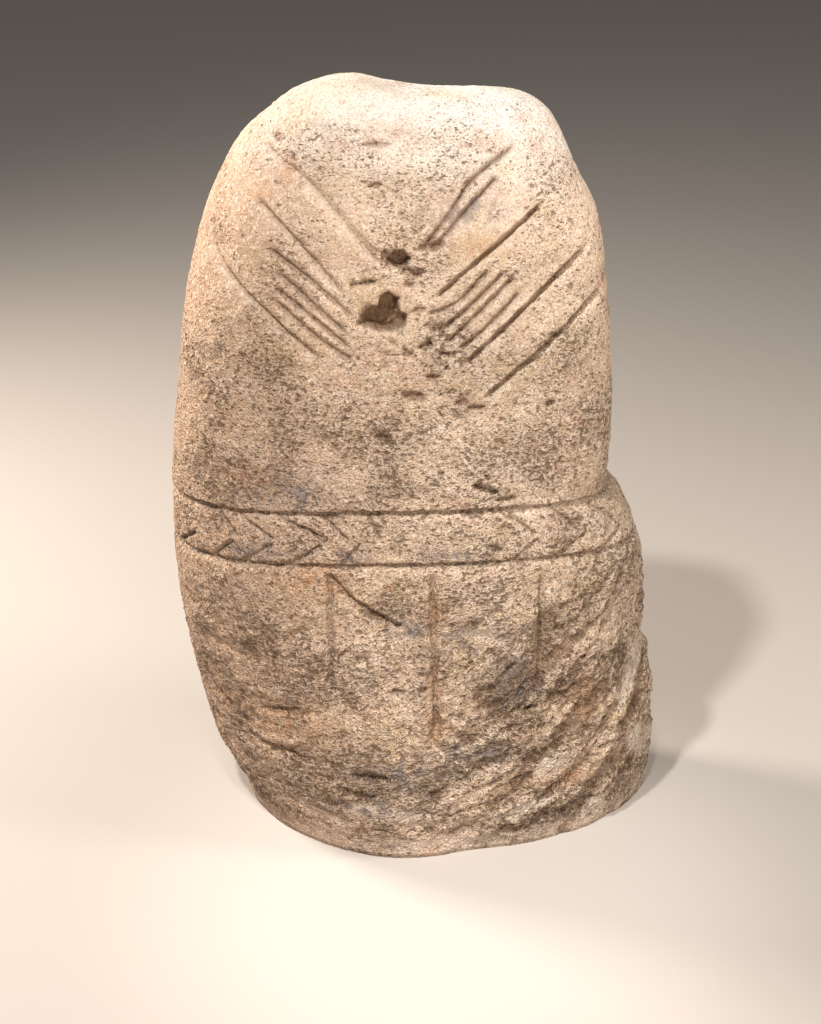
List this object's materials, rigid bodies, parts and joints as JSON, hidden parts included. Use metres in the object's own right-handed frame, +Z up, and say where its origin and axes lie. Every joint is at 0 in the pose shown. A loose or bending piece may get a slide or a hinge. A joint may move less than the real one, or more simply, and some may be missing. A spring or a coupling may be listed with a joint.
{
  "type": "statue menhir",
  "caption": "Upright sandstone slab, rounded and worn, its front carved with two arms and hands, a belt of slanting strokes and two legs, cut off flat at the foot.",
  "frame": {"origin": "middle of the underside: the centre of the object's box in plan, on the flat face that stands on the ground", "axes": "+Z up, the carved front faces -Y, +X to the right of a viewer who looks at the front"},
  "size_m": [0.7218, 0.3874, 1.0988],
  "materials": {
    "sandstone": "coarse-grained pale buff sandstone, weathered and matt, with grey and brown staining"
  },
  "bodies": {
    "root": {"menhir": "sandstone"}
  },
  "joints": []
}
